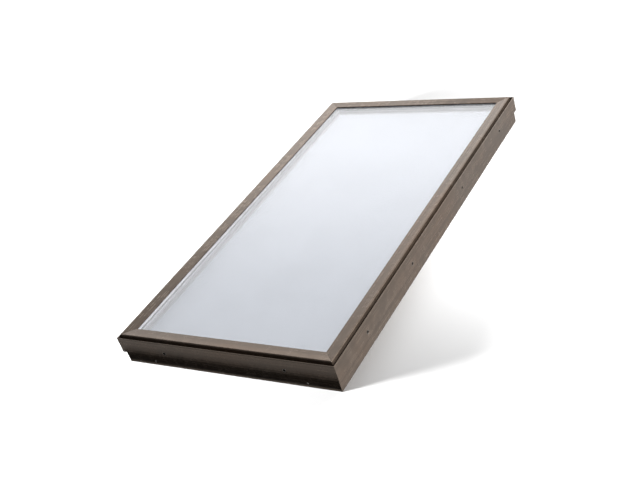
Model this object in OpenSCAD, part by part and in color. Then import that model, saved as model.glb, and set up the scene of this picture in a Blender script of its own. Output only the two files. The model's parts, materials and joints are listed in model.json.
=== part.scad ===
// Fixed roof skylight for a standard flat-framed curb.
// Origin: middle of the skirt's bottom rim. +Z out through the glass, +Y up the roof slope, +X to the right.
// Sections are drawn as (u, z): u runs inward from the lip's outermost face, z up from the skirt's rim.

/* [Curb] */
// Outside width of the curb that the skylight covers
curb_w = 647.7; // [400:0.1:1300]
// Outside length of the curb, up the slope
curb_l = 1257.3; // [600:0.1:2000]
// Thickness of the curb's timber
curb_t = 38.1; // [30:0.1:45]
// Clearance between curb and skirt, each side
curb_gap = 3.2; // [1:0.1:6]

/* [Skirt] */
// Wall thickness of the curb frame
wall = 2; // [1.5:0.1:3]
// How far the upper skirt stands out from the lower skirt
step_out = 5.9; // [5.5:0.1:9]
// Height of the lower skirt, from its rim to the step
lower_h = 37.1; // [20:0.1:60]
// Height of the upper skirt, from the step to the lip
upper_h = 46.6; // [42:0.1:70]
// Amount that the lip's bead stands proud of the skirt
bead_out = 0.4; // [0.2:0.1:1]
// Height of the lip's bead
bead_h = 2.4; // [1:0.1:4]
// Depth of the recess round the cap, below the lip
recess_d = 9.7; // [6:0.1:12]

/* [Cap] */
// Width of the recess and lip together, outside the cap
cap_inset = 9.6; // [8.5:0.1:12]
// Visible width of the cap
cap_w = 31.8; // [30:0.1:40]
// Height of the cap's outer edge above the lip
cap_rise = 6.3; // [4:0.1:10]
// Fall of the cap's top face towards the glass
cap_fall = 2.4; // [1:0.1:4]
// Sheet thickness of the cap
cap_t = 1.7; // [1.2:0.1:2.2]
// Radius of the cap's outer edge
cap_r = 2.2; // [1:0.1:3]
// Depth of the glass below the cap's inner edge
glass_drop = 4.1; // [3.5:0.1:5]

/* [Glass] */
// Thickness of the outer tempered pane
outer_t = 3; // [3:0.1:5]
// Air space between outer and inner pane
air_t = 8.5; // [7:0.1:10]
// Thickness of each ply of the laminated inner pane
ply_t = 2.1; // [1.9:0.1:3]
// Thickness of the laminate's interlayer
film_t = 0.8; // [0.4:0.1:1.6]
// Width of the secondary seal round the glass edge
sealant_w = 5; // [3:0.1:6]
// Width of the spacer bar
spacer_w = 7; // [5:0.1:8]
// Thickness of the glazing tape under the glass
tape_t = 1.8; // [1.5:0.1:3]

/* [Liner] */
// Thickness of the gutter frame's glazing flange
flange_t = 3.2; // [3:0.1:4]
// Thickness of the liner's wall
liner_t = 3; // [2.5:0.1:4]
// Clearance between liner wall and curb
liner_gap = 3.1; // [2:0.1:5]
// Height of the liner wall below the curb seat
liner_drop = 20; // [10:0.1:40]
// Thickness of the curb gasket
curb_gasket_t = 3; // [2:0.1:6]

/* [Holes] */
// Diameter of the holes in the outer wall that a screw's head passes
access_d = 8.5; // [7:0.1:10]
// Diameter of the screw holes in the inner wall
screw_d = 5; // [3.5:0.1:6.5]
// Height of the screw holes above the step
screw_rise = 12.9; // [8:0.1:18]
// Distance of the sill's and the head's screw holes from the middle
sill_screw_x = 186; // [100:1:300]
// Distance of a jamb's front end screw hole from the frame's front
jamb_front_end = 164.75; // [60:0.25:200]
// Distance of a jamb's rear end screw hole from the frame's rear
jamb_rear_end = 154.75; // [60:0.25:200]
// Spacing from a jamb's front end hole to the next one
jamb_front_pitch = 276; // [100:1:400]
// Spacing from a jamb's rear end hole to the next one
jamb_rear_pitch = 320; // [100:1:400]
// Diameter of the weep holes low on the sill
weep_d = 4; // [3:0.1:6]
// Distance of the weep holes from the middle of the sill
weep_x = 237; // [100:1:300]
// Height of the weep holes above the rim
weep_z = 12; // [6:0.1:25]

/* [Corner keys] */
// Length of each leg of a frame corner key
key_leg = 45; // [25:1:80]
// Length of each leg of a cap corner key
cap_key_leg = 30; // [20:1:50]

/* [Hidden] */
$fn = 48;
slip = 0.25; // clearance of a key in its chamber and of the gutter's tongue in its slot
touch = 0.1; // clearance of a rubber piece in its place

// Plan: half sizes of the lip's outermost rectangle
half_w = curb_w / 2 + curb_gap + wall + step_out;
half_l = curb_l / 2 + curb_gap + wall + step_out;

// Heights
lip_z = lower_h + upper_h;
recess_z = lip_z - recess_d;
cap_z = lip_z + cap_rise;
glass_z = cap_z - cap_fall - glass_drop;
glass_t = outer_t + air_t + 2 * ply_t + film_t;
glass_under = glass_z - glass_t;
flange_top = glass_under - tape_t;
seat_z = flange_top - flange_t;
curb_top = seat_z - curb_gasket_t;
screw_z = lower_h + screw_rise;

// Distances inward from the lip
skirt_u = step_out; // outer face of the lower skirt
pocket_u = skirt_u + wall; // face that looks at the curb
cap_in = cap_inset + cap_w; // cap's inner edge
key_w = 9.6; // width of the frame's corner-key chamber
leg_u = pocket_u + key_w; // outboard face of the glazing leg
leg_in = leg_u + wall;
seat_t = 2.5; // thickness of the plate over the curb
fin_t = 1; // fins that grip the gutter frame's tongue
fin_l = 4;
upper_fin_z = flange_top + slip;
glass_u = leg_in + 5.9; // edge of the glass
curb_in = pocket_u + curb_gap + curb_t; // curb's inner face
liner_u = curb_in + liner_gap; // liner wall's curb-side face
liner_in = liner_u + liner_t;

// Cap details
hook_w = 1.6; // thickness of the cap's hook leg
hook_play = 0.4; // clearance round the cap's hook
bead_t = 0.9; // retaining bead on the glazing leg
leg_bead_h = 2;
leg_top = glass_z - 1.5;
hook_out = leg_u - bead_t - hook_play - hook_w;
hook_in = hook_out + hook_w;
barb_h = 2.1;
nose_w = 1.6;
nose_z = glass_z + 1.5;
rib_u = cap_in - 11.2; // outboard rib of the gasket channel
rib_w = 1.2;
gasket_h = 2.3;
tape_w = 13;

// Holes along a jamb, measured from the middle, front to rear
jamb_screws = [
    -half_l + jamb_front_end,
    -half_l + jamb_front_end + jamb_front_pitch,
    half_l - jamb_rear_end - jamb_rear_pitch,
    half_l - jamb_rear_end
];

// Colours
bronze = [0.42, 0.37, 0.33];
zinc = [0.62, 0.63, 0.64];
glass_blue = [0.80, 0.86, 0.92, 0.45];
spacer_grey = [0.78, 0.79, 0.80];
rubber_black = [0.08, 0.08, 0.08];
tape_grey = [0.80, 0.80, 0.79];
liner_white = [0.88, 0.88, 0.86];
foam_grey = [0.25, 0.25, 0.26];

// Height of the cap's top face and underside at distance u
function cap_top(u) = cap_z - cap_fall * (u - cap_inset - cap_r) / (cap_w - cap_r);
function cap_under(u) = cap_top(u) - cap_t;

// A rectangle of a section, from u0 to u1 and z0 to z1
module plate(u0, u1, z0, z1) {
    translate([u0, z0]) square([u1 - u0, z1 - z0]);
}

// One straight length of a section on the -Y side of a rectangle with half sizes [along, across],
// mitred at both ends. The section reaches from u = 0 to u = depth.
module mitred_length(along, across, depth) {
    intersection() {
        translate([-along, -across, 0])
            rotate([90, 0, 90])
                linear_extrude(2 * along)
                    children();
        translate([0, 0, -1])
            linear_extrude(cap_z + 2)
                polygon([
                    [-along, -across],
                    [along, -across],
                    [along - depth, -across + depth],
                    [-along + depth, -across + depth]
                ]);
    }
}

// Place a length on one of the four sides
module on_sill() { children(); }
module on_head() { rotate([0, 0, 180]) children(); }
module on_left() { rotate([0, 0, -90]) children(); }
module on_right() { rotate([0, 0, 90]) children(); }

// A flat rectangular slab centred on the glass, with its edges at distance u
module slab(u, z0, z1) {
    translate([-half_w + u, -half_l + u, z0])
        cube([2 * (half_w - u), 2 * (half_l - u), z1 - z0]);
}

// A rectangular ring from distance u0 to u1
module ring(u0, u1, z0, z1) {
    difference() {
        slab(u0, z0, z1);
        slab(u1, z0 - 1, z1 + 1);
    }
}

// An L-shaped corner key at the front left corner, between distances u0 and u1
module corner_key(u0, u1, z0, z1, leg) {
    translate([-half_w, -half_l, z0])
        linear_extrude(z1 - z0)
            polygon([
                [u0, u0],
                [u0 + leg, u0],
                [u0 + leg, u1],
                [u1, u1],
                [u1, u0 + leg],
                [u0, u0 + leg]
            ]);
}

// Copy a front left corner piece to another corner
module at_corner(right, rear) {
    mirror([right, 0, 0]) mirror([0, rear, 0]) children();
}

// Section of the curb frame: skirt, lip, recess floor, key chamber and glazing leg
module frame_section() {
    plate(bead_out, bead_out + wall, lower_h, lip_z);
    plate(0, bead_out + wall, lip_z - bead_h, lip_z);
    plate(bead_out, pocket_u, lower_h, lower_h + wall);
    plate(skirt_u, pocket_u, 0, recess_z);
    plate(bead_out, leg_in, recess_z - wall, recess_z);
    plate(skirt_u, leg_in, seat_z, seat_z + seat_t);
    plate(leg_u, leg_in, seat_z, leg_top);
    plate(leg_u - bead_t, leg_in, leg_top - leg_bead_h, leg_top);
    plate(leg_u, leg_in + fin_l, seat_z, seat_z + fin_t);
    plate(leg_u, leg_in + fin_l, upper_fin_z, upper_fin_z + fin_t);
}

// Screw holes in the inner skirt wall with access holes in the outer one, at the given places along a length
module screw_holes(across, places) {
    for (x = places) {
        translate([x, -across - 1, screw_z])
            rotate([-90, 0, 0])
                cylinder(h = bead_out + wall + 2, d = access_d);
        translate([x, -across + skirt_u - 1, screw_z])
            rotate([-90, 0, 0])
                cylinder(h = wall + 2, d = screw_d);
    }
}

// A straight length of curb frame with its screw holes
module frame_length(along, across, places) {
    difference() {
        mitred_length(along, across, leg_in + fin_l + 1) frame_section();
        screw_holes(across, places);
    }
}

module sill() {
    color(bronze)
        on_sill()
            difference() {
                frame_length(half_w, half_l, [-sill_screw_x, sill_screw_x]);
                for (x = [-weep_x, weep_x])
                    translate([x, -half_l + skirt_u - 1, weep_z])
                        rotate([-90, 0, 0])
                            cylinder(h = wall + 2, d = weep_d);
                recess_drains();
            }
}

// Slots that drain the recess through the sill's outer chamber
module recess_drains() {
    drain_l = 14;
    drain_w = 2.4;
    drain_x = 0.6 * half_w;
    drain_u = (bead_out + wall + skirt_u) / 2;
    for (x = [-drain_x, 0, drain_x], z = [lower_h, recess_z - wall])
        translate([x - drain_l / 2, -half_l + drain_u - drain_w / 2, z - 1])
            cube([drain_l, drain_w, wall + 2]);
}

module head() {
    color(bronze) on_head() frame_length(half_w, half_l, [-sill_screw_x, sill_screw_x]);
}

module left_jamb() {
    color(bronze) on_left() frame_length(half_l, half_w, [for (y = jamb_screws) -y]);
}

module right_jamb() {
    color(bronze) on_right() frame_length(half_l, half_w, jamb_screws);
}

// Section of the cap: sloping top with a rounded outer edge, foot, hook leg and gasket channel
module cap_section() {
    arc_steps = 8;
    arc_z = cap_z - cap_r;
    polygon(concat(
        [for (i = [0 : arc_steps])
            let (a = 180 - i * 90 / arc_steps)
                [cap_inset + cap_r + cap_r * cos(a), arc_z + cap_r * sin(a)]],
        [
            [cap_in, cap_top(cap_in)],
            [cap_in, nose_z],
            [cap_in - nose_w, nose_z],
            [cap_in - nose_w, cap_under(cap_in - nose_w)],
            [rib_u + rib_w, cap_under(rib_u + rib_w)],
            [rib_u + rib_w, nose_z],
            [rib_u, nose_z],
            [rib_u, cap_under(rib_u)],
            [hook_in, cap_under(hook_in)],
            [hook_in, leg_top - leg_bead_h - hook_play],
            [hook_in + bead_t, leg_top - leg_bead_h - hook_play],
            [hook_in, leg_top - leg_bead_h - hook_play - barb_h],
            [hook_out, leg_top - leg_bead_h - hook_play - barb_h],
            [hook_out, cap_under(hook_out)],
            [cap_inset + cap_t, cap_under(cap_inset + cap_t)],
            [cap_inset + cap_t, recess_z],
            [cap_inset, recess_z]
        ]
    ));
}

module cap_length(along, across) {
    color(bronze) mitred_length(along, across, cap_in + 1) cap_section();
}

module sill_cap() { on_sill() cap_length(half_w, half_l); }
module head_cap() { on_head() cap_length(half_w, half_l); }
module left_cap() { on_left() cap_length(half_l, half_w); }
module right_cap() { on_right() cap_length(half_l, half_w); }

module frame_key() {
    color(zinc)
        corner_key(pocket_u + slip, leg_u - slip, seat_z + seat_t + slip, recess_z - wall - slip, key_leg);
}

module front_left_key() { at_corner(0, 0) frame_key(); }
module front_right_key() { at_corner(1, 0) frame_key(); }
module rear_left_key() { at_corner(0, 1) frame_key(); }
module rear_right_key() { at_corner(1, 1) frame_key(); }

module cap_key() {
    key_top = cap_under(hook_out) - slip;
    color(zinc)
        corner_key(cap_inset + cap_t + slip, hook_out - slip, recess_z + 4, key_top, cap_key_leg);
}

module front_left_cap_key() { at_corner(0, 0) cap_key(); }
module front_right_cap_key() { at_corner(1, 0) cap_key(); }
module rear_left_cap_key() { at_corner(0, 1) cap_key(); }
module rear_right_cap_key() { at_corner(1, 1) cap_key(); }

module outer_pane() { color(glass_blue) slab(glass_u, glass_z - outer_t, glass_z); }

module spacer_bar() {
    color(spacer_grey)
        ring(glass_u + sealant_w, glass_u + sealant_w + spacer_w, glass_z - outer_t - air_t, glass_z - outer_t);
}

module edge_sealant() {
    color(rubber_black)
        ring(glass_u, glass_u + sealant_w, glass_z - outer_t - air_t, glass_z - outer_t);
}

module inner_pane_top() {
    color(glass_blue) slab(glass_u, glass_under + ply_t + film_t, glass_under + 2 * ply_t + film_t);
}

module interlayer() { color(glass_blue) slab(glass_u, glass_under + ply_t, glass_under + ply_t + film_t); }

module inner_pane_bottom() { color(glass_blue) slab(glass_u, glass_under, glass_under + ply_t); }

// Section of the gasket between cap and glass
module cap_gasket_section() {
    body_out = rib_u + rib_w + touch;
    body_in = cap_in - nose_w - touch;
    plate(body_out, body_in, glass_z, glass_z + gasket_h);
    plate(rib_u, cap_in - 2 * touch, glass_z, nose_z - touch);
}

module cap_gasket(along, across) {
    color(rubber_black) mitred_length(along, across, cap_in + 1) cap_gasket_section();
}

module sill_cap_gasket() { on_sill() cap_gasket(half_w, half_l); }
module head_cap_gasket() { on_head() cap_gasket(half_w, half_l); }
module left_cap_gasket() { on_left() cap_gasket(half_l, half_w); }
module right_cap_gasket() { on_right() cap_gasket(half_l, half_w); }

// Glazing tape between the glass and the gutter frame's flange
module tape(along, across) {
    tape_u = cap_in - tape_w;
    color(tape_grey)
        mitred_length(along, across, cap_in + 1)
            plate(tape_u, tape_u + tape_w, flange_top, glass_under);
}

module sill_tape() { on_sill() tape(half_w, half_l); }
module head_tape() { on_head() tape(half_w, half_l); }
module left_tape() { on_left() tape(half_l, half_w); }
module right_tape() { on_right() tape(half_l, half_w); }

// Rubber blocks between the glass edge and the glazing leg, two on each side
module block_pair(across, spacing) {
    block_l = 100;
    block_z = upper_fin_z + fin_t;
    for (x = [-spacing, spacing])
        translate([x - block_l / 2, -across + leg_in + touch, block_z])
            cube([block_l, glass_u - leg_in - 2 * touch, glass_z - outer_t - block_z]);
}

module setting_blocks() {
    color(rubber_black) {
        on_sill() block_pair(half_l, half_w / 2);
        on_head() block_pair(half_l, half_w / 2);
        on_left() block_pair(half_w, half_l / 2);
        on_right() block_pair(half_w, half_l / 2);
    }
}

// Section of the gutter frame: tongue in the frame's slot, glazing flange and condensation gutter
module gutter_section() {
    gutter_u = cap_in + 0.6;
    gutter_t = 1.4;
    plate(leg_in + slip, gutter_u, seat_z + fin_t + slip, flange_top);
    plate(leg_in + fin_l + slip, gutter_u, seat_z, flange_top);
    plate(leg_in + fin_l + slip, liner_u, seat_z, seat_z + gutter_t);
}

module gutter(along, across) {
    color(liner_white) mitred_length(along, across, liner_in + 1) gutter_section();
}

module sill_gutter() { on_sill() gutter(half_w, half_l); }
module head_gutter() { on_head() gutter(half_w, half_l); }
module left_gutter() { on_left() gutter(half_l, half_w); }
module right_gutter() { on_right() gutter(half_l, half_w); }

// Wall of the liner, standing on the inner edge of the gutter and reaching down inside the curb
module liner(along, across) {
    lip_h = 1;
    color(liner_white)
        mitred_length(along, across, liner_in + 1)
            plate(liner_u, liner_in, seat_z - liner_drop, flange_top + lip_h);
}

module sill_liner() { on_sill() liner(half_w, half_l); }
module head_liner() { on_head() liner(half_w, half_l); }
module left_liner() { on_left() liner(half_l, half_w); }
module right_liner() { on_right() liner(half_l, half_w); }

// Foam strip between the unit and the top of the curb
module curb_gasket(along, across) {
    color(foam_grey)
        mitred_length(along, across, liner_u)
            plate(pocket_u + curb_gap + 1, curb_in - 3, curb_top, seat_z);
}

module sill_curb_gasket() { on_sill() curb_gasket(half_w, half_l); }
module head_curb_gasket() { on_head() curb_gasket(half_w, half_l); }
module left_curb_gasket() { on_left() curb_gasket(half_l, half_w); }
module right_curb_gasket() { on_right() curb_gasket(half_l, half_w); }

sill();
head();
left_jamb();
right_jamb();
sill_cap();
head_cap();
left_cap();
right_cap();
front_left_key();
front_right_key();
rear_left_key();
rear_right_key();
front_left_cap_key();
front_right_cap_key();
rear_left_cap_key();
rear_right_cap_key();
outer_pane();
spacer_bar();
edge_sealant();
inner_pane_top();
interlayer();
inner_pane_bottom();
sill_cap_gasket();
head_cap_gasket();
left_cap_gasket();
right_cap_gasket();
sill_tape();
head_tape();
left_tape();
right_tape();
setting_blocks();
sill_gutter();
head_gutter();
left_gutter();
right_gutter();
sill_liner();
head_liner();
left_liner();
right_liner();
sill_curb_gasket();
head_curb_gasket();
left_curb_gasket();
right_curb_gasket();
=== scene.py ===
"""Looks, light and camera for the roof skylight. Everything is in metres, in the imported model's frame."""

import json
import math

import bmesh
import bpy
from mathutils import Matrix, Vector


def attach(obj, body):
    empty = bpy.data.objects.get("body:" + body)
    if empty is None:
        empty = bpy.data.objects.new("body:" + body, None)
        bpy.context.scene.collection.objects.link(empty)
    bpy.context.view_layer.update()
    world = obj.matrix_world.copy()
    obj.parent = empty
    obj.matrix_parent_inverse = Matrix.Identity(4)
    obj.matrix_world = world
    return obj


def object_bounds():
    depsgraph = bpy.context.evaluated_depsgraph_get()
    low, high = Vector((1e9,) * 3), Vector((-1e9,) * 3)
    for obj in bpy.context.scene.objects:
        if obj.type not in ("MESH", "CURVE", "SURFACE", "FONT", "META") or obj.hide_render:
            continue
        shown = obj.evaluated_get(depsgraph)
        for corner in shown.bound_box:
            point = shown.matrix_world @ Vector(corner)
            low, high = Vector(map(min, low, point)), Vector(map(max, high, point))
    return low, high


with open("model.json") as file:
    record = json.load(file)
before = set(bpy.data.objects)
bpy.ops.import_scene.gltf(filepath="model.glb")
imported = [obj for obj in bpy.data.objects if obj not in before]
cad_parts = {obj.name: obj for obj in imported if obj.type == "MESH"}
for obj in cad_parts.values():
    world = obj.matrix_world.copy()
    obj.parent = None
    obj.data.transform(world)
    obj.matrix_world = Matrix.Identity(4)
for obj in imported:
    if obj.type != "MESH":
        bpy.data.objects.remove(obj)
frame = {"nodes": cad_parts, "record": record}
cad_low, cad_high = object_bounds()
nodes = frame["nodes"]

mounts = {mount["name"]: mount for mount in frame["record"]["mounts"]}

SIDES = ("sill", "head", "left", "right")
FRAME_LENGTHS = {"sill": "X", "head": "X", "left_jamb": "Y", "right_jamb": "Y"}
CORNERS = ("front_left", "front_right", "rear_left", "rear_right")

BRONZE = (0.175, 0.134, 0.104)
# Rounds: shaded on all bronze edges, and modelled on the caps and on the plastic lengths
EDGE_ROUND = 0.0010
CAP_ROUND = 0.0004
PLASTIC_ROUND = 0.0003

# Section of the burr round a drilled hole
RIM_WIDTH = 0.0007
RIM_HEIGHT = 0.0003

# The drilled holes' radii, and the weep holes' distance from the middle and height
ACCESS_RADIUS = 0.00425
WEEP_RADIUS = 0.0020
WEEP_X = 0.237
WEEP_Z = 0.012

# How far the faces of the upper and the lower skirt lie inside the lip's outermost face
UPPER_FACE = 0.0004
LOWER_FACE = 0.0059

# The floor lies this far under the skirt's rim, and its middle piece ends this far inside the object's box
FLOOR_DROP = 0.0003
FLOOR_INSET = 0.008
NEAR_LOW, NEAR_HIGH = (-1.1, -1.2), (1.25, 1.3)
FAR_LOW, FAR_HIGH = (-30.0, -30.0), (30.0, 30.0)
CARD_DEPTH = 0.050

# Studio light: (degrees about X, with 0 level behind the object, 90 overhead and 180 level in front; level)
STUDIO = (
    (-180, 0.08),
    (-143, 0.20),
    (-100, 0.14),
    (-60, 0.20),
    (-36, 0.22),
    (-3, 0.32),
    (5, 0.78),
    (26, 0.76),
    (31, 0.65),
    (35, 0.52),
    (40, 0.33),
    (46, 0.19),
    (60, 0.10),
    (90, 0.05),
    (180, 0.04),
)
STUDIO_STRENGTH = 2.8


def run_axis(side):
    """The way a length on this side runs."""
    return "X" if side in ("sill", "head") else "Y"


# ---------------------------------------------------------------- node helpers


class Tree:
    """A material's node tree, with short calls for the nodes the materials below share."""

    def __init__(self, name):
        self.material = bpy.data.materials.new(name)
        self.material.use_nodes = True
        self.tree = self.material.node_tree
        self.tree.nodes.clear()
        self.out = self.tree.nodes.new("ShaderNodeOutputMaterial")
        self.place = self.add("ShaderNodeTexCoord").outputs["Object"]

    def add(self, kind, **settings):
        node = self.tree.nodes.new(kind)
        for key, value in settings.items():
            setattr(node, key, value)
        return node

    def link(self, source, target):
        self.tree.links.new(source, target)

    def feed(self, target, value):
        """Sets a socket to a number or colour, or links it to another socket."""
        if isinstance(value, bpy.types.NodeSocket):
            self.link(value, target)
        elif hasattr(value, "__len__") and len(value) == 3 and target.type == "RGBA":
            target.default_value = (*value, 1.0)
        else:
            target.default_value = value

    def stretched(self, scale, turn=(0.0, 0.0, 0.0)):
        """The piece's own coordinates, scaled differently along each axis."""
        node = self.add("ShaderNodeMapping")
        node.inputs["Scale"].default_value = scale
        node.inputs["Rotation"].default_value = turn
        self.link(self.place, node.inputs["Vector"])
        return node.outputs["Vector"]

    def noise(self, scale, detail=4.0, rough=0.5, at=None, warp=0.0):
        node = self.add("ShaderNodeTexNoise")
        node.inputs["Scale"].default_value = scale
        node.inputs["Detail"].default_value = detail
        node.inputs["Roughness"].default_value = rough
        node.inputs["Distortion"].default_value = warp
        self.link(at or self.place, node.inputs["Vector"])
        return node.outputs["Fac"]

    def cells(self, scale):
        node = self.add("ShaderNodeTexVoronoi")
        node.inputs["Scale"].default_value = scale
        self.link(self.place, node.inputs["Vector"])
        return node.outputs["Distance"]

    def spread(self, value, low, high, to_low, to_high, smooth=False):
        """Maps value from low..high to to_low..to_high, held at the ends."""
        node = self.add("ShaderNodeMapRange", interpolation_type="SMOOTHSTEP" if smooth else "LINEAR")
        self.link(value, node.inputs["Value"])
        for name, number in (("From Min", low), ("From Max", high), ("To Min", to_low), ("To Max", to_high)):
            node.inputs[name].default_value = number
        return node.outputs["Result"]

    def math(self, how, a, b, clamp=False):
        node = self.add("ShaderNodeMath", operation=how, use_clamp=clamp)
        self.feed(node.inputs[0], a)
        self.feed(node.inputs[1], b)
        return node.outputs["Value"]

    def mix(self, share, a, b):
        """Colour a with b's share mixed in."""
        node = self.add("ShaderNodeMix", data_type="RGBA")
        self.feed(node.inputs[0], share)
        self.feed(node.inputs[6], a)
        self.feed(node.inputs[7], b)
        return node.outputs[2]

    def bump(self, height, strength, distance, before=None):
        node = self.add("ShaderNodeBump")
        node.inputs["Strength"].default_value = strength
        node.inputs["Distance"].default_value = distance
        self.link(height, node.inputs["Height"])
        if before is not None:
            self.link(before, node.inputs["Normal"])
        return node.outputs["Normal"]

    def surface(self, **sockets):
        """The Principled shader, with each named socket fed."""
        node = self.add("ShaderNodeBsdfPrincipled")
        for name, value in sockets.items():
            self.feed(node.inputs[name.replace("_", " ")], value)
        return node.outputs["BSDF"]

    def clear(self, colour):
        """A shader that lets light straight through, tinted."""
        node = self.add("ShaderNodeBsdfTransparent")
        node.inputs["Color"].default_value = (*colour, 1.0)
        return node.outputs["BSDF"]

    def blend(self, share, first, second):
        """Shader first with second's share mixed in."""
        node = self.add("ShaderNodeMixShader")
        self.feed(node.inputs[0], share)
        self.link(first, node.inputs[1])
        self.link(second, node.inputs[2])
        return node.outputs["Shader"]

    def done(self, shader):
        self.link(shader, self.out.inputs["Surface"])
        return self.material

    def upward(self):
        """How far a face looks up, from 0 to 1."""
        split = self.add("ShaderNodeSeparateXYZ")
        self.link(self.add("ShaderNodeNewGeometry").outputs["Normal"], split.inputs["Vector"])
        return self.math("MAXIMUM", split.outputs["Z"], 0.0)


def along(axis, fine, coarse):
    """A scale that is coarse along one axis and fine across it."""
    return tuple(coarse if letter == axis else fine for letter in "XYZ")


def shade(colour, share):
    """The colour made darker, with a share under 1, or lighter."""
    return tuple(channel * share for channel in colour)


# ------------------------------------------------------------------- materials


def bronze(name, axis):
    """Bronze anodised aluminium: mottled, lined and banded along axis, with grain, dust, and edges lightened
    as rubbed wear and as a painted edge highlight.
    """
    t = Tree(name)
    dark, light, deep = shade(BRONZE, 0.84), shade(BRONZE, 1.14), shade(BRONZE, 0.62)
    warm = tuple(channel * share for channel, share in zip(BRONZE, (1.12, 0.98, 0.88)))
    mottle = t.noise(38.0, 3.0, 0.5)
    lines = t.noise(1.0, 2.0, 0.5, at=t.stretched(along(axis, 420.0, 1.1)))
    bands = t.noise(1.0, 2.0, 0.5, at=t.stretched(along(axis, 95.0, 0.55)))
    colour = t.mix(t.spread(mottle, 0.32, 0.68, 0.0, 1.0, True), dark, light)
    colour = t.mix(t.spread(t.noise(5.0, 3.0, 0.6), 0.40, 0.72, 0.0, 0.6, True), colour, warm)
    colour = t.mix(t.spread(lines, 0.38, 0.66, 0.0, 0.25), colour, light)
    colour = t.mix(t.spread(bands, 0.38, 0.62, 0.0, 0.5, True), colour, deep)
    patches = t.spread(t.noise(23.0, 4.0, 0.6), 0.50, 0.78, 0.0, 0.05)
    dust = t.math("MULTIPLY", t.upward(), patches, clamp=True)
    colour = t.mix(dust, colour, (0.42, 0.39, 0.35))
    soft = t.add("ShaderNodeBevel", samples=4)
    soft.inputs["Radius"].default_value = EDGE_ROUND
    turned = t.add("ShaderNodeVectorMath", operation="DOT_PRODUCT")
    t.link(soft.outputs["Normal"], turned.inputs[0])
    t.link(t.add("ShaderNodeNewGeometry").outputs["True Normal"], turned.inputs[1])
    edge = t.spread(turned.outputs["Value"], 0.985, 0.86, 0.0, 1.0)
    chips = t.spread(t.noise(140.0, 3.0, 0.6), 0.42, 0.62, 0.1, 1.0, True)
    # Lighter on the edges: partly real rubbed wear, partly a painted highlight along the edges
    rubbed_and_highlit = t.math("MULTIPLY", t.math("MULTIPLY", edge, chips), 0.42)
    colour = t.mix(rubbed_and_highlit, colour, (0.40, 0.35, 0.30))
    rough = t.math("ADD", t.spread(mottle, 0.30, 0.72, 0.21, 0.28), t.spread(lines, 0.36, 0.66, -0.02, 0.03))
    rough = t.math("SUBTRACT", rough, t.math("MULTIPLY", rubbed_and_highlit, 0.25), clamp=True)
    normal = t.bump(lines, 0.15, 0.00010, soft.outputs["Normal"])
    normal = t.bump(t.noise(900.0, 2.0, 0.5), 0.12, 0.00008, normal)
    return t.done(t.surface(Base_Color=colour, Metallic=0.55, Roughness=rough, Normal=normal))


def clear_glass(name, tint, seen, smudge):
    """Float glass, tinted. Shadow and diffuse rays pass straight through, coloured by seen; others bend."""
    t = Tree(name)
    film = t.noise(9.0, 5.0, 0.6, warp=0.6)
    specks = t.spread(t.cells(260.0), 0.02, 0.10, 1.0, 0.0, True)
    sparse = t.spread(t.noise(31.0, 3.0, 0.5), 0.56, 0.66, 0.0, 1.0, True)
    specks = t.math("MULTIPLY", specks, sparse)
    colour = t.mix(t.spread(film, 0.35, 0.75, 0.0, smudge, True), tint, shade(tint, 0.965))
    rough = t.math("ADD", t.spread(film, 0.45, 0.75, 0.0, 0.012, True), t.math("MULTIPLY", specks, 0.05))
    roller = t.noise(1.0, 2.0, 0.4, at=t.stretched((3.0, 9.0, 3.0)))
    shader = t.surface(
        Base_Color=colour,
        Roughness=rough,
        Normal=t.bump(roller, 0.04, 0.0003),
        Transmission_Weight=1.0,
        IOR=1.50,
    )
    path = t.add("ShaderNodeLightPath")
    either = t.math("MAXIMUM", path.outputs["Is Shadow Ray"], path.outputs["Is Diffuse Ray"])
    return t.done(t.blend(either, shader, t.clear(seen)))


def plastic_film(name):
    """The clear interlayer of the laminated pane: it only takes a little light away."""
    t = Tree(name)
    streak = t.noise(14.0, 3.0, 0.5)
    body = t.surface(
        Base_Color=t.mix(streak, (0.80, 0.82, 0.84), (0.88, 0.89, 0.90)),
        Roughness=t.spread(streak, 0.3, 0.7, 0.10, 0.20),
        Normal=t.bump(streak, 0.05, 0.0002),
    )
    return t.done(t.blend(0.02, t.clear((0.985, 0.988, 0.992)), body))


def rubber(name, axis, dark, light):
    """Extruded rubber: matt, with draw lines along its length and a dusty bloom."""
    t = Tree(name)
    bloom = t.noise(38.0, 6.0, 0.65)
    lines = t.noise(1.0, 5.0, 0.6, at=t.stretched(along(axis, 900.0, 4.0)))
    colour = t.mix(t.spread(bloom, 0.35, 0.72, 0.0, 1.0, True), dark, light)
    rough = t.math("ADD", t.spread(bloom, 0.3, 0.7, 0.62, 0.78), t.spread(lines, 0.3, 0.7, -0.05, 0.05))
    normal = t.bump(t.noise(2200.0, 2.0, 0.5), 0.25, 0.00008, t.bump(lines, 0.30, 0.00012))
    return t.done(t.surface(Base_Color=colour, Roughness=rough, Normal=normal, Specular_IOR_Level=0.35))


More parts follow.
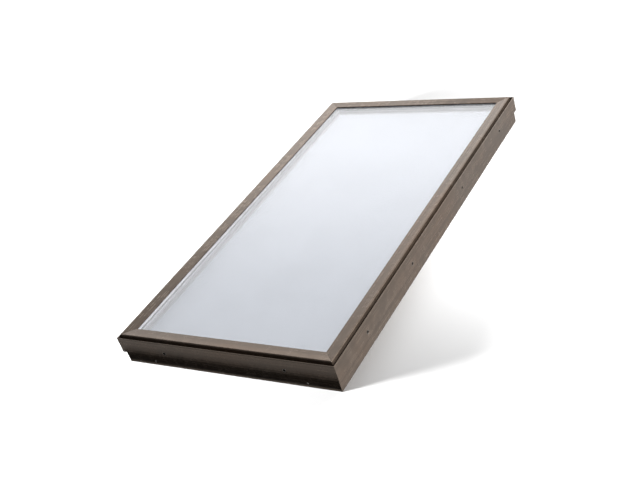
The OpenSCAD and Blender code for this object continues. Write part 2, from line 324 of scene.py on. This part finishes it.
def pvc(name, axis):
    """Extruded white PVC: faint flow lines, a slight sheen, a little yellowing and handling dirt."""
    t = Tree(name)
    cloud = t.noise(7.0, 4.0, 0.55)
    lines = t.noise(1.0, 5.0, 0.55, at=t.stretched(along(axis, 520.0, 2.0)))
    colour = t.mix(t.spread(cloud, 0.35, 0.70, 0.0, 1.0, True), (0.80, 0.80, 0.785), (0.74, 0.735, 0.715))
    colour = t.mix(t.spread(lines, 0.40, 0.64, 0.0, 0.16), colour, (0.86, 0.86, 0.85))
    specks = t.spread(t.cells(210.0), 0.03, 0.09, 1.0, 0.0, True)
    specks = t.math("MULTIPLY", specks, t.spread(cloud, 0.55, 0.68, 0.0, 0.5))
    colour = t.mix(specks, colour, (0.45, 0.42, 0.38))
    rough = t.math("ADD", t.spread(cloud, 0.3, 0.7, 0.34, 0.46), t.spread(lines, 0.3, 0.7, -0.04, 0.04))
    normal = t.bump(t.noise(900.0, 2.0, 0.5), 0.12, 0.00008, t.bump(lines, 0.18, 0.0001))
    return t.done(t.surface(Base_Color=colour, Roughness=rough, Normal=normal))


def foam(name):
    """Closed-cell foam strip: small round cells, dull grey, with painted shade in the cells' pits."""
    t = Tree(name)
    pores = t.cells(620.0)
    wide = t.noise(45.0, 5.0, 0.6)
    colour = t.mix(t.spread(wide, 0.35, 0.7, 0.0, 1.0, True), (0.10, 0.10, 0.102), (0.145, 0.144, 0.142))
    # Darker towards the middle of each cell: painted shade in the pits that the bump below makes
    colour = t.mix(t.spread(pores, 0.05, 0.40, 0.65, 0.0, True), colour, (0.045, 0.045, 0.047))
    normal = t.bump(pores, 0.55, 0.0004, t.bump(wide, 0.2, 0.0005))
    rough = t.spread(wide, 0.3, 0.7, 0.82, 0.95)
    return t.done(t.surface(Base_Color=colour, Roughness=rough, Normal=normal, Specular_IOR_Level=0.3))


def sealant(name):
    """Gunned secondary seal at the edge of the glass unit: dark, slightly lumpy."""
    t = Tree(name)
    lumps = t.noise(75.0, 4.0, 0.55, warp=0.5)
    colour = t.mix(t.spread(lumps, 0.3, 0.7, 0.0, 1.0), (0.055, 0.056, 0.060), (0.095, 0.095, 0.098))
    rough = t.spread(lumps, 0.3, 0.7, 0.40, 0.58)
    normal = t.bump(lumps, 0.45, 0.0006)
    return t.done(t.surface(Base_Color=colour, Roughness=rough, Normal=normal))


def butyl_tape(name, axis):
    """Butyl glazing tape: soft, pale grey, creased along its length."""
    t = Tree(name)
    creases = t.noise(1.0, 5.0, 0.6, at=t.stretched(along(axis, 300.0, 9.0)), warp=0.3)
    blotch = t.noise(60.0, 4.0, 0.6)
    colour = t.mix(t.spread(blotch, 0.3, 0.7, 0.0, 1.0), (0.36, 0.36, 0.37), (0.47, 0.47, 0.47))
    rough = t.spread(creases, 0.3, 0.7, 0.55, 0.72)
    normal = t.bump(creases, 0.4, 0.0003)
    return t.done(t.surface(Base_Color=colour, Roughness=rough, Normal=normal))


def mill_metal(name, colour, rough, metallic=1.0):
    """Bare metal: scratches, dull patches, cast grain."""
    t = Tree(name)
    patch = t.noise(28.0, 5.0, 0.6)
    scores = t.noise(1.0, 4.0, 0.6, at=t.stretched((700.0, 12.0, 700.0), (0.0, 0.0, 0.6)))
    tone = t.mix(t.spread(patch, 0.35, 0.7, 0.0, 1.0, True), colour, shade(colour, 0.82))
    dull = t.spread(patch, 0.3, 0.7, rough - 0.06, rough + 0.08)
    dull = t.math("ADD", dull, t.spread(scores, 0.35, 0.65, -0.05, 0.07))
    normal = t.bump(t.noise(800.0, 3.0, 0.6), 0.25, 0.0001, t.bump(scores, 0.25, 0.0001))
    return t.done(t.surface(Base_Color=tone, Metallic=metallic, Roughness=dull, Normal=normal))


def dress(names, material):
    """Gives CAD nodes one material in place of their own."""
    for name in names:
        for slot in nodes[name].material_slots:
            slot.material = material


def soften(names, width):
    """Small rounds on the sharp edges of CAD nodes, as modifiers."""
    for name in names:
        weld = nodes[name].modifiers.new("join_faces", "WELD")
        weld.merge_threshold = 0.000002
        round_off = nodes[name].modifiers.new("small_rounds", "BEVEL")
        round_off.width = width
        round_off.segments = 2
        round_off.limit_method = "ANGLE"
        round_off.angle_limit = 0.7
        round_off.use_clamp_overlap = True
        round_off.harden_normals = True


metal = {axis: bronze("bronze_" + axis.lower(), axis) for axis in "XY"}
gasket = {
    axis: rubber("gasket_rubber_" + axis.lower(), axis, (0.018, 0.018, 0.019), (0.040, 0.040, 0.041))
    for axis in "XY"
}
white_pvc = {axis: pvc("white_pvc_" + axis.lower(), axis) for axis in "XY"}
tape = {axis: butyl_tape("butyl_tape_" + axis.lower(), axis) for axis in "XY"}

for name, axis in FRAME_LENGTHS.items():
    dress([name], metal[axis])
for side in SIDES:
    axis = run_axis(side)
    dress([side + "_cap"], metal[axis])
    dress([side + "_cap_gasket"], gasket[axis])
    dress([side + "_tape"], tape[axis])
    dress([side + "_gutter", side + "_liner"], white_pvc[axis])
dress([side + "_curb_gasket" for side in SIDES], foam("curb_foam"))
dress(["setting_blocks"], rubber("block_rubber", "X", (0.022, 0.022, 0.024), (0.045, 0.045, 0.046)))
dress(["outer_pane"], clear_glass("outer_glass", (0.955, 0.962, 0.990), (0.975, 0.98, 0.99), 0.4))
inner_glass = clear_glass("inner_glass", (0.985, 0.988, 0.996), (0.985, 0.988, 0.994), 0.3)
dress(["inner_pane_top", "inner_pane_bottom"], inner_glass)
dress(["interlayer"], plastic_film("clear_interlayer"))
dress(["edge_sealant"], sealant("edge_seal"))
dress(["spacer_bar"], mill_metal("spacer_aluminium", (0.78, 0.78, 0.79), 0.50, 0.35))
keys = [corner + "_key" for corner in CORNERS] + [corner + "_cap_key" for corner in CORNERS]
dress(keys, mill_metal("cast_key", (0.55, 0.54, 0.53), 0.45))

soften([side + "_cap" for side in SIDES], CAP_ROUND)
soften([side + part for part in ("_liner", "_gutter") for side in SIDES], PLASTIC_ROUND)

# ---------------------------------------------------------------- rims of holes


def hole_rim(name, place, outward, radius):
    """The bright turned-out burr round a drilled hole, a low rounded ring that stands on the skirt's face."""
    steps, section = 40, 7  # points round the ring, and across its section
    mesh = bpy.data.meshes.new(name)
    ring = bmesh.new()
    facing = Vector(outward).to_track_quat("Z", "Y").to_matrix()
    loops = []
    for n in range(steps):
        turn_by = 2.0 * math.pi * n / steps
        loop = []
        for k in range(section):
            round_by = math.pi * k / (section - 1)
            out = radius + RIM_WIDTH * (1.0 - math.cos(round_by)) / 2.0
            up = RIM_HEIGHT * math.sin(round_by)
            spot = Vector((out * math.cos(turn_by), out * math.sin(turn_by), up))
            loop.append(ring.verts.new(Vector(place) + facing @ spot))
        loops.append(loop)
    for n, loop in enumerate(loops):
        following = loops[(n + 1) % steps]
        for k in range(section):
            after = (k + 1) % section
            ring.faces.new((loop[k], following[k], following[after], loop[after])).smooth = k < section - 1
    bmesh.ops.recalc_face_normals(ring, faces=ring.faces)
    ring.to_mesh(mesh)
    ring.free()
    piece = bpy.data.objects.new(name, mesh)
    bpy.context.scene.collection.objects.link(piece)
    mesh.materials.append(rim_metal)
    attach(piece, "root")


def screw_places(axis, *names):
    """Where the screws of these bolt patterns lie along X (axis 0) or Y (axis 1), from low to high."""
    places = []
    for name in names:
        half = mounts[name]["dims"]["spacing_x_mm"] / 2000.0
        middle = mounts[name]["pos_m"][axis]
        places += [middle - half, middle + half]
    return sorted(places)


rim_metal = mill_metal("rim_metal", (0.62, 0.60, 0.57), 0.36, 0.6)
screw_z = mounts["sill_screws"]["pos_m"][2]
for tag, x in zip(("left", "right"), screw_places(0, "sill_screws")):
    hole_rim("sill_hole_rim_" + tag, (x, cad_low.y + UPPER_FACE, screw_z), (0, -1, 0), ACCESS_RADIUS)
    hole_rim("head_hole_rim_" + tag, (x, cad_high.y - UPPER_FACE, screw_z), (0, 1, 0), ACCESS_RADIUS)
for count, y in enumerate(screw_places(1, "left_jamb_end_screws", "left_jamb_middle_screws"), 1):
    hole_rim(f"left_hole_rim_{count}", (cad_low.x + UPPER_FACE, y, screw_z), (-1, 0, 0), ACCESS_RADIUS)
    hole_rim(f"right_hole_rim_{count}", (cad_high.x - UPPER_FACE, y, screw_z), (1, 0, 0), ACCESS_RADIUS)
for tag, x in (("left", -WEEP_X), ("right", WEEP_X)):
    hole_rim("weep_rim_" + tag, (x, cad_low.y + LOWER_FACE, WEEP_Z), (0, -1, 0), WEEP_RADIUS)

# -------------------------------------------------------------- floor and light


def floor_piece(name, corners, faces, material):
    """A flat piece of the stage, at the floor's height."""
    mesh = bpy.data.meshes.new(name)
    mesh.from_pydata([(x, y, -FLOOR_DROP) for x, y in corners], [], faces)
    piece = bpy.data.objects.new(name, mesh)
    bpy.context.scene.collection.objects.link(piece)
    mesh.materials.append(material)
    return piece


def rectangle(low, high):
    """The four corners, in order round it."""
    return [(low[0], low[1]), (high[0], low[1]), (high[0], high[1]), (low[0], high[1])]


def make_floor():
    """A plain pale floor in three pieces, lit apart: round the object, under the glass, and far away."""
    t = Tree("pale_floor")
    faint = t.noise(1.2, 3.0, 0.5)
    colour = t.mix(faint, (0.67, 0.67, 0.67), (0.69, 0.69, 0.69))
    material = t.done(t.surface(Base_Color=colour, Roughness=t.spread(faint, 0.3, 0.7, 0.85, 0.92)))
    inset = Vector((FLOOR_INSET, FLOOR_INSET, 0.0))
    hidden = rectangle(cad_low + inset, cad_high - inset)
    near = rectangle(NEAR_LOW, NEAR_HIGH)
    far = rectangle(FAR_LOW, FAR_HIGH)
    ring = [(n, (n + 1) % 4, 4 + (n + 1) % 4, 4 + n) for n in range(4)]
    pieces = (
        floor_piece("floor", near + hidden, ring, material),
        floor_piece("floor_under", hidden, [(0, 1, 2, 3)], material),
        floor_piece("floor_around", far + near, ring, material),
    )
    for piece in pieces:
        piece.visible_diffuse = False
        piece.visible_glossy = False
    return pieces


def black_card(depth):
    """A dark card laid before the sill, out of the camera's sight, that the skirt's foot mirrors."""
    t = Tree("black_card")
    tone = t.mix(t.noise(30.0, 3.0, 0.5), (0.010, 0.010, 0.010), (0.016, 0.016, 0.016))
    material = t.done(t.surface(Base_Color=tone, Roughness=0.9))
    x, y = cad_high.x + depth, cad_low.y
    card = floor_piece("front_card", rectangle((-x, y - depth), (x, y)), [(0, 1, 2, 3)], material)
    card.visible_camera = False
    card.visible_shadow = False
    card.visible_transmission = False


def lamp_for(lamp, place, target, lit, through):
    """Puts a lamp in place, out of the camera's sight. It lights only the objects in lit."""
    holder = bpy.data.objects.new(lamp.name, lamp)
    bpy.context.scene.collection.objects.link(holder)
    holder.location = place
    holder.rotation_mode = "QUATERNION"
    holder.rotation_quaternion = (Vector(target) - Vector(place)).to_track_quat("-Z", "Y")
    holder.visible_camera = False
    receivers = bpy.data.collections.new("lit_by_" + lamp.name)
    for thing in lit:
        receivers.objects.link(thing)
    holder.light_linking.receiver_collection = receivers
    if through:
        holder.light_linking.blocker_collection = receivers


def soft_light(name, place, target, size, power, lit, colour=(1.0, 1.0, 1.0), through=False):
    """A softbox of size (width, height). With through, only what it lights can shade what it lights."""
    lamp = bpy.data.lights.new(name, "AREA")
    lamp.shape = "RECTANGLE"
    lamp.size, lamp.size_y = size
    lamp.energy, lamp.color = power, colour
    lamp_for(lamp, place, target, lit, through)


def even_light(name, strength, lit):
    """Light straight from above, the same everywhere."""
    lamp = bpy.data.lights.new(name, "SUN")
    lamp.energy, lamp.angle = strength, 0.5
    lamp_for(lamp, (0.0, 0.0, 5.0), (0.0, 0.0, 0.0), lit, True)


def sky():
    """Studio light that changes only with the angle about X: a long soft panel low behind the object.

    It is dim overhead, in front and below. The camera sees plain white in its place.
    """
    world = bpy.data.worlds.new("studio")
    bpy.context.scene.world = world
    world.use_nodes = True
    tree = world.node_tree
    tree.nodes.clear()
    place = tree.nodes.new("ShaderNodeTexCoord")
    split = tree.nodes.new("ShaderNodeSeparateXYZ")
    tree.links.new(place.outputs["Generated"], split.inputs["Vector"])
    angle = tree.nodes.new("ShaderNodeMath")
    angle.operation = "ARCTAN2"
    tree.links.new(split.outputs["Z"], angle.inputs[0])
    tree.links.new(split.outputs["Y"], angle.inputs[1])
    span = tree.nodes.new("ShaderNodeMapRange")
    tree.links.new(angle.outputs["Value"], span.inputs["Value"])
    span.inputs["From Min"].default_value = -math.pi
    span.inputs["From Max"].default_value = math.pi
    ramp = tree.nodes.new("ShaderNodeValToRGB")
    tree.links.new(span.outputs["Result"], ramp.inputs["Fac"])
    ends = ramp.color_ramp.elements
    ends[0].position, ends[1].position = 0.0, 1.0
    for at, _ in STUDIO[1:-1]:
        ends.new((at + 180.0) / 360.0)
    for element, (_, level) in zip(ends, STUDIO):
        element.color = (level, level, level, 1.0)
    lit = tree.nodes.new("ShaderNodeBackground")
    tree.links.new(ramp.outputs["Color"], lit.inputs["Color"])
    lit.inputs["Strength"].default_value = STUDIO_STRENGTH
    white = tree.nodes.new("ShaderNodeBackground")
    white.inputs["Color"].default_value = (1.0, 1.0, 1.0, 1.0)
    path = tree.nodes.new("ShaderNodeLightPath")
    both = tree.nodes.new("ShaderNodeMixShader")
    tree.links.new(path.outputs["Is Camera Ray"], both.inputs[0])
    tree.links.new(lit.outputs["Background"], both.inputs[1])
    tree.links.new(white.outputs["Background"], both.inputs[2])
    out = tree.nodes.new("ShaderNodeOutputWorld")
    tree.links.new(both.outputs["Shader"], out.inputs["Surface"])


floor, floor_under, floor_around = make_floor()
black_card(CARD_DEPTH)
sky()
skylight = list(nodes.values())
inner_edge = [nodes[side + part] for side in SIDES for part in ("_liner", "_gutter", "_tape")]
inner_edge.append(nodes["spacer_bar"])
far_edges = [nodes[name] for name in ("left_cap", "head_cap", "left_jamb", "head")]

# On the object: all of it from the right, its far caps and frame, and the edges seen through the glass
soft_light(
    "from_right",
    place=(2.9, 0.2, 1.95),
    target=(0.33, 0.0, 0.05),
    size=(1.2, 0.8),
    power=112.0,
    lit=skylight,
)
soft_light(
    "rear_left",
    place=(-1.75, 1.6, 1.2),
    target=(-0.2, 0.0, 0.09),
    size=(2.2, 0.8),
    power=5.0,
    lit=far_edges,
)
soft_light(
    "into_well",
    place=(0.9, -1.3, 2.8),
    target=(0.0, 0.0, 0.0),
    size=(1.0, 1.0),
    power=45.0,
    lit=inner_edge,
    through=True,
)

# The floor under the glass, and the floor round the object, where floor_key throws the shadow
soft_light(
    "well_top",
    place=(0.0, 0.0, 4.5),
    target=(0.0, 0.0, 0.0),
    size=(3.0, 3.0),
    power=170.0,
    lit=[floor_under],
    colour=(0.92, 0.96, 1.0),
    through=True,
)
soft_light(
    "floor_top",
    place=(0.75, 0.35, 0.5),
    target=(0.75, 0.35, 0.0),
    size=(0.5, 0.5),
    power=16.0,
    lit=[floor],
)
soft_light(
    "floor_rear",
    place=(-1.0, 2.6, 2.6),
    target=(-1.0, 2.6, 0.0),
    size=(3.0, 3.0),
    power=95.0,
    lit=[floor],
)
soft_light(
    "floor_key",
    place=(-3.6, -2.75, 0.80),
    target=(0.1, 0.0, 0.0),
    size=(1.2, 1.2),
    power=1600.0,
    lit=[floor],
)
even_light("floor_even", 5.5, [floor_around])

bpy.context.scene.view_settings.view_transform = "Standard"

# ---------------------------------------------------------------------- camera

camera = bpy.data.cameras.new("camera")
camera.lens = 55.61
camera.sensor_width = 36.0
camera.clip_start, camera.clip_end = 0.05, 200.0
viewer = bpy.data.objects.new("camera", camera)
bpy.context.scene.collection.objects.link(viewer)
right = Vector((0.84821, 0.45273, -0.27490)).normalized()
ahead = Vector((-0.52770, 0.67787, -0.51188)).normalized()
upward = right.cross(ahead).normalized()
turn = Matrix((right, upward, -ahead)).transposed()
viewer.rotation_mode = "QUATERNION"
viewer.rotation_quaternion = turn.to_quaternion()
viewer.location = (1.4832, -2.0131, 1.4810)
bpy.context.scene.camera = viewer
